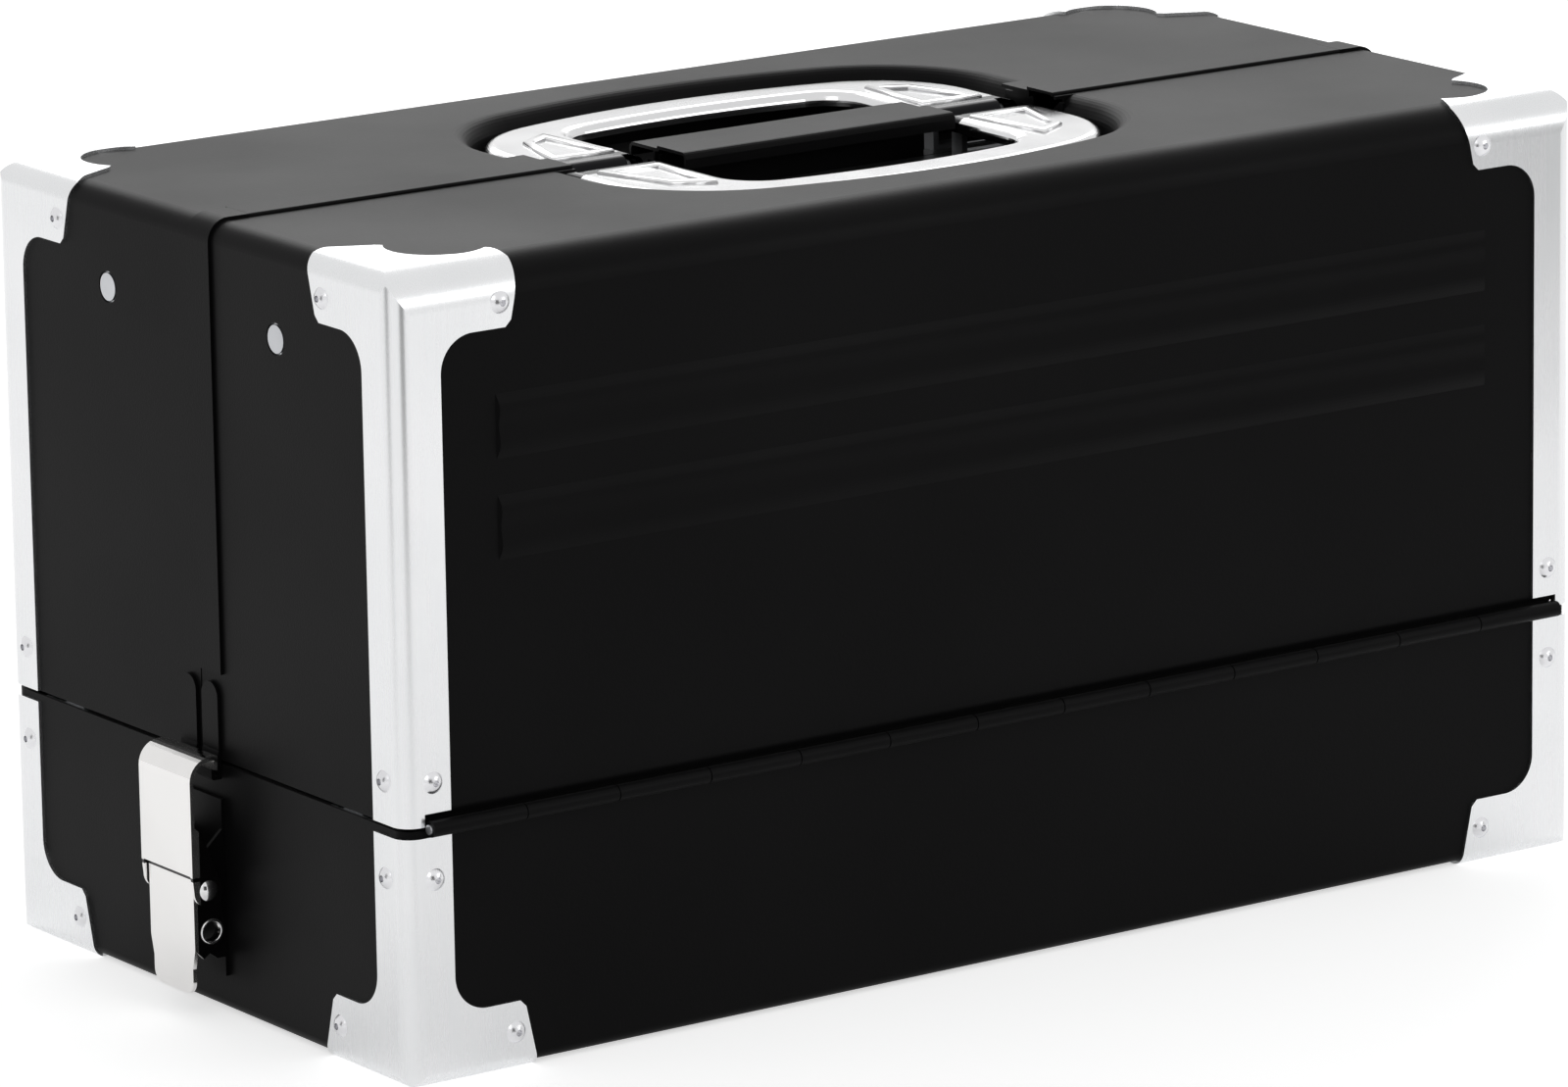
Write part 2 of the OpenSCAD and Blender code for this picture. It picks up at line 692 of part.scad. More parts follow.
// Stud fixed in a lid's end wall on which a tray hangs: disc, washer, boss and headed pin
module tray_pivot() {
    boss_end = body_x - tray_half - gap;
    head_at = body_x - tray_half + tray_t + gap;
    translate([-body_x, -pivot_y, pivot_z]) rotate([0, 90, 0]) rotate_extrude() polygon([
        [0, 0], [pivot_head_r, 0], [pivot_head_r, sheet], [6.4, sheet], [6.4, sheet + 1.2],
        [4, sheet + 1.2], [4, boss_end], [pin_r, boss_end], [pin_r, head_at],
        [pin_r + 1.2, head_at], [pin_r + 1.2, head_at + 1], [0, head_at + 1]]);
}
module front_tray_pivots() color(zinc) both_ends() tray_pivot();
module rear_tray_pivots() color(zinc) to_rear() both_ends() tray_pivot();

// Seam strip on the rear lid, over the front lid's step: plate with a lip, web and tongue
module seam_strip() color(black) along_x(-wrap_half + leg_top + 0.1, -notch_half) translate([0, body_z1]) polygon(concat(
    [[-strip_reach, -strip_lip]], arc(-strip_reach + 0.7, 0.3, 0.7, 180, 90, 4),
    [[strip_root - 0.3, 1], [strip_root - 0.1, 0.8], [strip_root - 0.1, -sheet], [tongue_w, -sheet],
        [tongue_w, -2 * sheet], [-0.1, -2 * sheet], [-0.1, 0.1], [-strip_reach + 1, 0.1],
        [-strip_reach + 1, -strip_lip]]));
module left_seam_strip() seam_strip();
module right_seam_strip() to_right() seam_strip();

// Leg on the front lid's end cap that carries the line of the seam strip down the end of the case
module seam_leg() color(black) {
    x1 = -body_x + end_r;
    z1 = body_z1 - end_r;
    y1 = -seam_gap / 2;
    along_x(x1, -wrap_half + leg_top) translate([-strip_reach, body_z1]) square([strip_reach + y1, 1]);
    translate([x1, y1, z1]) rotate([90, 0, 0]) rotate([0, 0, 90])
        rotate_extrude(angle = 90) translate([end_r, 0]) square([1, strip_reach + y1]);
    box([-body_x - 1, -strip_reach, strip_foot_z], [-body_x, y1, z1]);
}
module left_seam_leg() seam_leg();
module right_seam_leg() to_right() seam_leg();

// Bridge over both pans between the handles, carried by the rear pan on its web
module handle_bridge() color(black) along_x(-bridge_half, bridge_half) {
    r = 2;
    low = bridge_z - bridge_step;
    web_y = seam_gap / 2 + sheet;
    polygon(concat([[-bridge_reach, bridge_foot_z]],
        arc(-bridge_reach + r, bridge_z - r, r, 180, 90, 4), [[0, bridge_z], [0.4, low]],
        arc(bridge_reach - r, low - r, r, 90, 0, 4),
        [[bridge_reach, bridge_foot_z], [bridge_reach - sheet, bridge_foot_z]],
        arc(bridge_reach - r, low - r, r - sheet, 0, 90, 4),
        [[web_y + sheet, low - sheet], [web_y + sheet, floor_z + 1.5], [web_y, floor_z + 1.5],
            [web_y, low - sheet], [-0.5, low - sheet], [-0.9, bridge_z - sheet]],
        arc(-bridge_reach + r, bridge_z - r, r - sheet, 90, 180, 4),
        [[-bridge_reach + sheet, bridge_foot_z]]));
}

// ---------------------------------------------------------------- handles

// Rolled edge of a handle, in distance from its outline and height. side = -1 inside the outline.
edge_pts = concat([[shoulder_r + 0.5, grip_top_z - grip_t], [shoulder_r + 0.5, grip_top_z]],
    arc(shoulder_r, grip_top_z - shoulder_r, shoulder_r, 90, 180),
    [[0, grip_top_z - grip_edge], [grip_t, grip_top_z - grip_edge]],
    arc(shoulder_r, grip_top_z - shoulder_r, shoulder_r - grip_t, 180, 90));
module edge_outline(side) polygon([for (p = edge_pts) [side * p[0], p[1]]]);

module pad_frame() {
    m = (frame_pts[0] + frame_pts[1] + frame_pts[2] + frame_pts[3]) / 4;
    along_z(grip_top_z - 0.2, grip_top_z + frame_h) difference() {
        polygon(frame_pts);
        translate(m) scale(0.76) translate(-m) polygon(frame_pts);
    }
}

// Handle pressed from one plate, with its edges rolled down and its pads curled round the rods
module handle() color(chrome) difference() {
    union() {
        along_z(grip_top_z - grip_t, grip_top_z) difference() {
            grip_outline(-shoulder_r);
            grip_open_outline(shoulder_r);
            translate([-far, -rod_y]) square(2 * far);
        }
        bow_sweep(grip, rod_y - curl_r) edge_outline(-1);
        bow_sweep(grip_open, rod_y - curl_r) edge_outline(1);
        both_ends() along_x(-curl_x1, -curl_x0) translate([-rod_y, rod_z]) circle(curl_r);
        both_ends() pad_frame();
    }
    both_ends() along_x(-curl_x1 - 1, -curl_x0 + 1) translate([-rod_y, rod_z]) circle(rod_r + run);
    both_ends() for (x = [[ear_x0 - gap, curl_x0], [curl_x1, ear_x1 + gap]])
        box([-x[1], -rod_y, 0], [-x[0], 0, far]);
}
module front_handle() handle();
module rear_handle() to_rear() handle();

// ---------------------------------------------------------------- trays and arms

module tray() color(black) difference() {
    along_z(tray_z0, tray_z1) rounded(-tray_half, -tray_y1, tray_half, -tray_y0, 5);
    along_z(tray_z0 + tray_t, far)
        rounded(-tray_half + tray_t, -tray_y1 + tray_t, tray_half - tray_t, -tray_y0 - tray_t, 4);
    for (p = [[-pivot_y, pivot_z], [-arm_top_y, arm_top_z]])
        along_x(-far, far) translate(p) circle(pin_r + run);
}
module front_tray() tray();
module rear_tray() to_rear() tray();

// Pin through a tray's end wall that the arm turns on
module tray_pin() translate([0, -arm_top_y, arm_top_z]) rotate([0, -90, 0]) {
    translate([0, 0, tray_half - tray_t - 0.8]) cylinder(h = 0.8, r = pin_r + 1.1);
    translate([0, 0, tray_half - tray_t - 0.1]) cylinder(h = arm_out + 0.3 - tray_half + tray_t, r = pin_r);
    translate([0, 0, arm_out + 0.2]) cylinder(h = 0.8, r = pin_r + 1.3);
}
module front_tray_pins() color(zinc) both_ends() tray_pin();
module rear_tray_pins() color(zinc) to_rear() both_ends() tray_pin();

// Arm from the anchor in the base to the tray's pin
module arm() color(zinc) along_x(-arm_out, -arm_out + arm_t) difference() {
    union() {
        translate([-anchor_y, anchor_z]) circle(arm_w / 2);
        translate([-arm_top_y, arm_top_z]) circle(arm_w / 2);
        translate([-anchor_y, anchor_z]) rotate(arm_angle) translate([0, -arm_w / 2]) square([arm_len, arm_w]);
    }
    translate([-anchor_y, anchor_z]) circle(pin_r + run);
    translate([-arm_top_y, arm_top_z]) circle(pin_r + open_run);
}
module front_left_arm() arm();
module front_right_arm() to_right() arm();
module rear_left_arm() to_rear() arm();
module rear_right_arm() to_rear() to_right() arm();

// Plate on the base's end wall with the headed stud an arm turns on
module arm_anchors() color(zinc) both_ends() both_sides() {
    x0 = -body_x + sheet;
    head_x = -arm_out + arm_t + gap;
    box([x0, -anchor_y - anchor_w / 2, anchor_z + 4.4 - anchor_h], [x0 + anchor_t, -anchor_y + anchor_w / 2, anchor_z + 4.4]);
    along_x(x0 + 0.5, head_x + 0.5) translate([-anchor_y, anchor_z]) circle(pin_r);
    along_x(head_x, head_x + 0.9) translate([-anchor_y, anchor_z]) circle(pin_r + 1.5);
}

// ---------------------------------------------------------------- latches

// Disc round a latch's lever axis or hook axis, drawn in X and Z
module at_lever_axis() translate([-lever_axis_x, lever_axis_z]) children();
module at_hook_axis() translate([-hook_axis_x, hook_axis_z]) children();
module padlock_hole() along_y(-far, far) translate([-padlock_x, padlock_z]) circle(padlock_r);

// Bracket on the base's end wall: a plate with two cheeks
module latch_bracket() color(zinc) difference() {
    union() {
        box([-body_x - latch_t, -cheek_w / 2, bracket_foot_z], [-body_x, cheek_w / 2, bracket_top_z]);
        both_sides() along_y(-cheek_w / 2, -cheek_w / 2 + latch_t) {
            polygon([[-body_x, bracket_foot_z + 6], [-body_x - 4, bracket_foot_z + 6], [-padlock_x - padlock_r - 1.4, padlock_z - 4],
                [-padlock_x - padlock_r - 1.4, latch_line_z - 2.8], [-lever_axis_x - 1.1, lever_axis_z - 2.2],
                [-lever_axis_x, lever_axis_z], [-lever_axis_x + 1.5, lever_axis_z + 2.4], [-body_x, bracket_top_z - 8]]);
            at_lever_axis() circle(latch_boss_r);
        }
    }
    along_y(-far, far) at_lever_axis() circle(latch_pin_r + run);
    padlock_hole();
}
module left_latch_bracket() latch_bracket();
module right_latch_bracket() to_right() latch_bracket();

// Rivets the levers turn on
module latch_pivot_rivets() color(zinc) both_ends() both_sides() {
    along_y(-lever_w / 2 - 0.5, -cheek_w / 2 + latch_t + 0.8) at_lever_axis() circle(latch_pin_r);
    along_y(-cheek_w / 2 + latch_t, -cheek_w / 2 + latch_t + 0.8) at_lever_axis() circle(latch_boss_r);
    along_y(-lever_w / 2 - 0.5, -lever_w / 2 - 0.1) at_lever_axis() circle(latch_boss_r);
}

// Lever: a channel with a narrowed, rounded tip
module latch_lever() color(chrome) difference() {
    union() {
        along_x(-lever_face, -lever_face + latch_t) {
            rounded(-lever_tip_w / 2, lever_tip_z, lever_tip_w / 2, lever_tip_z + 16, 4);
            polygon([[-lever_tip_w / 2, lever_tip_z + 8], [-lever_w / 2, lever_tip_z + 14],
                [-lever_w / 2, latch_line_z - 0.2], [lever_w / 2, latch_line_z - 0.2],
                [lever_w / 2, lever_tip_z + 14], [lever_tip_w / 2, lever_tip_z + 8]]);
        }
        both_sides() along_y(-lever_w / 2, -lever_w / 2 + latch_t) {
            polygon([[-lever_face, latch_line_z - 0.2], [-lever_face, lever_tip_z + 14],
                [-lever_face + 3, lever_tip_z + 11], [-padlock_x + 4.4, padlock_z - 3],
                [-padlock_x + 4.4, padlock_z + 4], [-hook_axis_x + 4, hook_axis_z],
                [-lever_axis_x + 2.6, lever_axis_z + 1.2], [-lever_axis_x - 2.6, lever_axis_z + 1.2]]);
            at_lever_axis() circle(latch_boss_r);
        }
    }
    along_y(-far, far) at_lever_axis() circle(latch_pin_r + run);
    along_y(-far, far) at_hook_axis() circle(latch_pin_r + run);
    padlock_hole();
}
module left_latch_lever() latch_lever();
module right_latch_lever() to_right() latch_lever();

// Hook: a plate that curls over the catches, with two arms down to its pins on the lever
module latch_hook() color(chrome) difference() {
    union() {
        along_y(-hook_w / 2, hook_w / 2) polygon(concat([[-latch_face, latch_line_z + 0.2]],
            arc(-latch_face + hook_bend, hook_top_z - hook_bend, hook_bend, 180, 90),
            [[-hook_in, hook_top_z], [-hook_in, hook_top_z - 4.2], [-hook_in - latch_t, hook_top_z - 4.2],
                [-hook_in - latch_t, hook_top_z - latch_t]],
            arc(-latch_face + hook_bend, hook_top_z - hook_bend, hook_bend - latch_t, 90, 180),
            [[-latch_face + latch_t, latch_line_z + 0.2]]));
        both_sides() along_y(-hook_w / 2, -hook_w / 2 + latch_t) {
            polygon([[-latch_face, latch_line_z + 0.2], [-latch_face, latch_line_z + 16],
                [-latch_face + 3.5, latch_line_z + 13], [-hook_axis_x + 5, hook_axis_z],
                [-hook_axis_x - 5, hook_axis_z]]);
            at_hook_axis() circle(5);
        }
    }
    along_y(-far, far) at_hook_axis() circle(latch_pin_r + run);
}
module left_latch_hook() latch_hook();
module right_latch_hook() to_right() latch_hook();

// Domed pins that join the hook's arms to the lever
module hook_pins() color(zinc) both_sides() translate([-hook_axis_x, 0, hook_axis_z]) rotate([90, 0, 0]) {
    translate([0, 0, cheek_w / 2 + 0.15]) cylinder(h = hook_w / 2 - cheek_w / 2, r = latch_pin_r);
    translate([0, 0, hook_w / 2]) rotate_extrude() intersection() {
        translate([0, -3.5]) circle(4.7);
        square([3.1, 2]);
    }
}
module left_hook_pins() hook_pins();
module right_hook_pins() to_right() hook_pins();

base_shell();
base_left_front_guard();
base_right_front_guard();
base_left_rear_guard();
base_right_rear_guard();
base_guard_rivets();
front_hinge_base_leaf();
rear_hinge_base_leaf();
front_hinge_pin();
rear_hinge_pin();
left_latch_bracket();
right_latch_bracket();
latch_pivot_rivets();
arm_anchors();
front_lid_shell();
front_lid_left_end();
front_lid_right_end();
front_lid_left_guard();
front_lid_right_guard();
front_lid_guard_rivets();
front_hinge_lid_leaf();
front_latch_catches();
front_handle_pan();
front_handle_brackets();
front_handle_rods();
front_tray_pivots();
left_seam_leg();
right_seam_leg();
rear_lid_shell();
rear_lid_left_end();
rear_lid_right_end();
rear_lid_left_guard();
rear_lid_right_guard();
rear_lid_guard_rivets();
rear_hinge_lid_leaf();
rear_latch_catches();
rear_handle_pan();
rear_handle_brackets();
rear_handle_rods();
rear_tray_pivots();
left_seam_strip();
right_seam_strip();
handle_bridge();
front_handle();
rear_handle();
front_tray();
rear_tray();
front_tray_pins();
rear_tray_pins();
front_left_arm();
front_right_arm();
rear_left_arm();
rear_right_arm();
left_latch_lever();
left_latch_hook();
left_hook_pins();
right_latch_lever();
right_latch_hook();
right_hook_pins();
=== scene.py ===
import math

import bmesh
import bpy
from mathutils import Matrix, Vector


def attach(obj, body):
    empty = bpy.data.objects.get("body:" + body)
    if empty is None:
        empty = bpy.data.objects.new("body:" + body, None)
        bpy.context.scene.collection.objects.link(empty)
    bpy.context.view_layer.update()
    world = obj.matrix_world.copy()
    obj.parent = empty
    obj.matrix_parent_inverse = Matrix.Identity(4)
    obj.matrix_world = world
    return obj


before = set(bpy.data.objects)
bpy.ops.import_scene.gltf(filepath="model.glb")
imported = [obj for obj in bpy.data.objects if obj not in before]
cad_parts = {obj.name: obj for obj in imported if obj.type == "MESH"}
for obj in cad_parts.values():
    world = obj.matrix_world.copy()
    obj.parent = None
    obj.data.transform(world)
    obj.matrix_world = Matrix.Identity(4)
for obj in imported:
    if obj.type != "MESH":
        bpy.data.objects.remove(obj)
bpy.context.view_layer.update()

# ---------------------------------------------------------------- painted sheet
# The base, both lids and the pans are pressed sheet steel under a matt black powder coat. The
# coat has a fine pebbled texture and turns slightly greyer where hands have polished it.
MM = 0.001  # the model is in metres, and its sizes are written in millimetres
lids = ("front", "rear")
sides = ("left", "right")
noise_band = (0.35, 0.65)  # where most of a noise mask's values lie
coat_polish = 0.03  # how far the coat's roughness strays to either side


def feed(tree, value, socket):
    """Give a socket a plain number, or link another socket to it."""
    if isinstance(value, (int, float)):
        socket.default_value = value
    else:
        tree.links.new(value, socket)


def group_sockets(group, inputs, outputs):
    """Give a node group its sockets."""
    for name, kind, value in inputs:
        socket = group.interface.new_socket(name, in_out="INPUT", socket_type=kind)
        socket.default_value = value
    for name, kind in outputs:
        group.interface.new_socket(name, in_out="OUTPUT", socket_type=kind)
    return group.nodes.new("NodeGroupInput"), group.nodes.new("NodeGroupOutput")


def noise(tree, place, scale, detail, roughness=0.5):
    """Noise mask at a place on the piece."""
    node = tree.nodes.new("ShaderNodeTexNoise")
    node.inputs["Detail"].default_value = detail
    node.inputs["Roughness"].default_value = roughness
    tree.links.new(place, node.inputs["Vector"])
    feed(tree, scale, node.inputs["Scale"])
    return node.outputs["Fac"]


def build_pebble_group():
    """Fine pebbles of a powder coat: their height, and a slow mask of polished places."""
    group = bpy.data.node_groups.new("powder_pebbles", "ShaderNodeTree")
    given, wanted = group_sockets(
        group,
        [("Pebble Scale", "NodeSocketFloat", 1500.0), ("Patch Scale", "NodeSocketFloat", 9.0)],
        [("Height", "NodeSocketFloat"), ("Patches", "NodeSocketFloat")])
    place = group.nodes.new("ShaderNodeTexCoord").outputs["Object"]
    pebbles = noise(group, place, given.outputs["Pebble Scale"], detail=2.0, roughness=0.6)
    patches = noise(group, place, given.outputs["Patch Scale"], detail=5.0)
    group.links.new(pebbles, wanted.inputs["Height"])
    group.links.new(patches, wanted.inputs["Patches"])
    return group


pebble_group = build_pebble_group()


def ramp(tree, mask, low, high):
    """Colour from low to high on a noise mask."""
    node = tree.nodes.new("ShaderNodeValToRGB")
    for stop, at, colour in zip(node.color_ramp.elements, noise_band, (low, high)):
        stop.position = at
        stop.color = (*colour, 1)
    tree.links.new(mask, node.inputs["Fac"])
    return node.outputs["Color"]


def spread(tree, mask, low, high):
    """Number from low to high on a noise mask."""
    node = tree.nodes.new("ShaderNodeMapRange")
    node.inputs["From Min"].default_value = noise_band[0]
    node.inputs["From Max"].default_value = noise_band[1]
    node.inputs["To Min"].default_value = low
    node.inputs["To Max"].default_value = high
    tree.links.new(mask, node.inputs["Value"])
    return node.outputs["Result"]


def bump(tree, height, depth, shader):
    """Fine relief of a given depth in metres."""
    node = tree.nodes.new("ShaderNodeBump")
    node.inputs["Strength"].default_value = 1.0
    node.inputs["Distance"].default_value = depth
    tree.links.new(height, node.inputs["Height"])
    tree.links.new(node.outputs["Normal"], shader.inputs["Normal"])


def new_material(name):
    """Material with its node tree and its shader."""
    material = bpy.data.materials.new(name)
    material.use_nodes = True
    return material, material.node_tree, material.node_tree.nodes["Principled BSDF"]


def powder_coat(name, dark, polished, roughness, pebble_depth):
    """Matt coat, from its own dark to the shade where it is polished."""
    material, tree, shader = new_material(name)
    pebbles = tree.nodes.new("ShaderNodeGroup")
    pebbles.node_tree = pebble_group
    patches = pebbles.outputs["Patches"]
    tree.links.new(ramp(tree, patches, dark, polished), shader.inputs["Base Color"])
    gloss = spread(tree, patches, roughness + coat_polish, roughness - coat_polish)
    tree.links.new(gloss, shader.inputs["Roughness"])
    shader.inputs["Specular IOR Level"].default_value = 0.065
    shader.inputs["Sheen Weight"].default_value = 0.04
    shader.inputs["Sheen Roughness"].default_value = 0.4
    bump(tree, pebbles.outputs["Height"], pebble_depth, shader)
    return material


def finish_nodes(names, material):
    """Put one material on CAD nodes."""
    for name in names:
        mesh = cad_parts[name].data
        mesh.materials.clear()
        mesh.materials.append(material)


black_coat = powder_coat("black_powder_coat", dark=(0.0019, 0.0018, 0.002),
                         polished=(0.003, 0.0029, 0.0031), roughness=0.42,
                         pebble_depth=0.04 * MM)
sheet_nodes = ["base_shell", "handle_bridge"]
sheet_nodes += [f"{lid}_{part}" for lid in lids for part in
                ("lid_shell", "handle_pan", "latch_catches", "lid_left_end", "lid_right_end",
                 "hinge_base_leaf", "hinge_lid_leaf")]
sheet_nodes += [f"{side}_{part}" for side in sides for part in
                ("seam_strip", "seam_leg", "latch_bracket")]
finish_nodes(sheet_nodes, black_coat)

# ---------------------------------------------------------------- corner guards
# Eight guards of rolled aluminium sheet are folded over the corners and held by blind rivets.
# Their faces keep a faint upright grain and a slow cloudiness from handling.
grain_gloss = 0.012  # how far a rolled metal's roughness strays to either side


def build_grain_group():
    """Faint lines along one axis with a slow cloudiness, as rolled or brushed metal has."""
    group = bpy.data.node_groups.new("rolled_grain", "ShaderNodeTree")
    given, wanted = group_sockets(
        group,
        [("Stretch", "NodeSocketVector", (60.0, 60.0, 1500.0)),
         ("Cloud Scale", "NodeSocketFloat", 25.0)],
        [("Grain", "NodeSocketFloat"), ("Clouds", "NodeSocketFloat")])
    place = group.nodes.new("ShaderNodeTexCoord").outputs["Object"]
    stretched = group.nodes.new("ShaderNodeVectorMath")
    stretched.operation = "MULTIPLY"
    group.links.new(place, stretched.inputs[0])
    group.links.new(given.outputs["Stretch"], stretched.inputs[1])
    grain = noise(group, stretched.outputs["Vector"], scale=1.0, detail=3.0)
    clouds = noise(group, place, given.outputs["Cloud Scale"], detail=4.0)
    group.links.new(grain, wanted.inputs["Grain"])
    group.links.new(clouds, wanted.inputs["Clouds"])
    return group


grain_group = build_grain_group()


def rolled_metal(name, dull, bright, roughness, stretch, grain_depth):
    """Bare or plated metal. Stretch is how often the grain changes in a metre, along each axis."""
    material, tree, shader = new_material(name)
    grain = tree.nodes.new("ShaderNodeGroup")
    grain.node_tree = grain_group
    grain.inputs["Stretch"].default_value = stretch
    lines = grain.outputs["Grain"]
    tree.links.new(ramp(tree, grain.outputs["Clouds"], dull, bright), shader.inputs["Base Color"])
    gloss = spread(tree, lines, roughness + grain_gloss, roughness - grain_gloss)
    tree.links.new(gloss, shader.inputs["Roughness"])
    shader.inputs["Metallic"].default_value = 1.0
    bump(tree, lines, grain_depth, shader)
    return material


rolled_aluminium = rolled_metal("rolled_aluminium", dull=(0.84, 0.85, 0.86),
                                bright=(0.88, 0.885, 0.895), roughness=0.27,
                                stretch=(600.0, 600.0, 22.0), grain_depth=0.0007 * MM)
guard_nodes = [f"base_{side}_{lid}_guard" for side in sides for lid in lids]
guard_nodes += [f"{lid}_lid_{side}_guard" for side in sides for lid in lids]
finish_nodes(guard_nodes, rolled_aluminium)
rivet_aluminium = rolled_metal("rivet_aluminium", dull=(0.8, 0.8, 0.82),
                               bright=(0.88, 0.88, 0.9), roughness=0.24,
                               stretch=(400.0, 400.0, 400.0), grain_depth=0.005 * MM)
finish_nodes(["base_guard_rivets", "front_lid_guard_rivets", "rear_lid_guard_rivets"],
             rivet_aluminium)

# ---------------------------------------------------------------- handles
# Each handle is pressed from steel plate and nickel plated bright. Its pads curl round the rods,
# where the plate has painted shade for the dark gap there. Each pad has a raised frame pressed in
# it.
nickel = {"dull": (0.76, 0.76, 0.77), "bright": (0.82, 0.82, 0.825), "roughness": 0.14,
          "stretch": (90.0, 90.0, 90.0), "grain_depth": 0.004 * MM}
curl_reach = 12.0  # from the seam
# painted shade on the curls, standing in for the dark gap round the rods
curl_painted_shade = (0.012, 0.012, 0.013)
pad_corners = ((-57.2, -12.3), (-80.1, -12.1), (-72.4, -39.5), (-60.2, -46.8))
plate_top = 236.2
pad_frame_w, pad_frame_h, pad_frame_sunk = 3.2, 1.0, 0.2
shoulder_r = 0.7
shoulder_angle = 0.8  # in radians, the least turn between two faces that counts as a shoulder


def math_node(tree, operation, first, second=0):
    """Math node on two numbers or sockets."""
    node = tree.nodes.new("ShaderNodeMath")
    node.operation = operation
    feed(tree, first, node.inputs[0])
    feed(tree, second, node.inputs[1])
    return node.outputs["Value"]


def place_in(tree):
    """Sockets of the place along, across and up the case."""
    place = tree.nodes.new("ShaderNodeTexCoord")
    parts = tree.nodes.new("ShaderNodeSeparateXYZ")
    tree.links.new(place.outputs["Object"], parts.inputs["Vector"])
    return parts.outputs["X"], parts.outputs["Y"], parts.outputs["Z"]


def paint_shade(tree, mask, shade):
    """Paint shade onto a metal where a mask is 1."""
    base = tree.nodes["Principled BSDF"].inputs["Base Color"]
    mix = tree.nodes.new("ShaderNodeMix")
    mix.data_type = "RGBA"
    tree.links.new(base.links[0].from_socket, mix.inputs["A"])
    tree.links.new(mask, mix.inputs["Factor"])
    mix.inputs["B"].default_value = (*shade, 1)
    tree.links.new(mix.outputs["Result"], base)


def handle_metal():
    """Bright nickel, with painted shade where the pads curl round the rods."""
    material = rolled_metal("handle_nickel", **nickel)
    tree = material.node_tree
    from_seam = math_node(tree, "ABSOLUTE", place_in(tree)[1])
    paint_shade(tree, math_node(tree, "LESS_THAN", from_seam, curl_reach * MM), curl_painted_shade)
    return material


def new_piece(name, mesh, material, body):
    """Turn a bmesh into a finished piece that rides on a body."""
    bmesh.ops.recalc_face_normals(mesh, faces=mesh.faces)
    data = bpy.data.meshes.new(name)
    mesh.to_mesh(data)
    mesh.free()
    data.materials.append(material)
    piece = bpy.data.objects.new(name, data)
    bpy.context.collection.objects.link(piece)
    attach(piece, body)


def pad_frame(flip_x, flip_y):
    """Frame inside a pad's outline, drawn up through the plate and rounded at its shoulders."""
    mesh = bmesh.new()
    start_z = (plate_top - pad_frame_sunk) * MM
    corners = [mesh.verts.new((flip_x * x * MM, flip_y * y * MM, start_z))
               for x, y in pad_corners]
    face = mesh.faces.new(corners)
    mesh.normal_update()
    rim = bmesh.ops.inset_region(mesh, faces=[face], thickness=pad_frame_w * MM,
                                 use_boundary=True, use_even_offset=True)["faces"]
    bmesh.ops.delete(mesh, geom=[face], context="FACES_ONLY")
    raised = bmesh.ops.extrude_face_region(mesh, geom=rim)["geom"]
    top = [v for v in raised if isinstance(v, bmesh.types.BMVert)]
    bmesh.ops.translate(mesh, vec=(0, 0, (pad_frame_h + pad_frame_sunk) * MM), verts=top)
    bmesh.ops.recalc_face_normals(mesh, faces=mesh.faces)
    mesh.normal_update()
    shoulders = [e for e in mesh.edges
                 if len(e.link_faces) == 2 and e.calc_face_angle(0) > shoulder_angle
                 and all(v.co.z > plate_top * MM for v in e.verts)]
    bmesh.ops.bevel(mesh, geom=shoulders, offset=shoulder_r * MM, segments=4, affect="EDGES",
                    profile=0.5, material=-1)
    for f in mesh.faces:
        f.smooth = True
    return mesh


bright_nickel = rolled_metal("bright_nickel", **nickel)
finish_nodes(["front_handle", "rear_handle"], handle_metal())
for lid, flip_y in (("front", 1), ("rear", -1)):
    for side, flip_x in (("left", 1), ("right", -1)):
        new_piece(f"{lid}_handle_{side}_pad_frame", pad_frame(flip_x, flip_y), bright_nickel,
                  f"{lid}_handle")

# ---------------------------------------------------------------- latches
# Each draw latch is a hook and a lever, folded from steel strip. Their fronts are nickel plated
# bright. Their side arms carry painted shade for the black wall they mirror, all but a bright ring
# round each padlock hole, which has a rolled rim. A painted shadow line runs where the hook's lip
# ends on the lever.
padlock_x, padlock_z = 222.2, 27.0
arms_within, arms_outside, arms_below = 226.8, 10.8, 73.5  # along, across and up the case
bare_ring_r = 3.9  # round the padlock hole
joint_z, joint_half_w = 44.1, 0.6  # painted shadow line where the hook's lip ends on the lever
# painted shade on the latch arms and in the joint of hook and lever
latch_painted_shade = (0.05, 0.048, 0.05)
rim_r, rim_bead_r, rim_y = 3.35, 0.35, 12.4


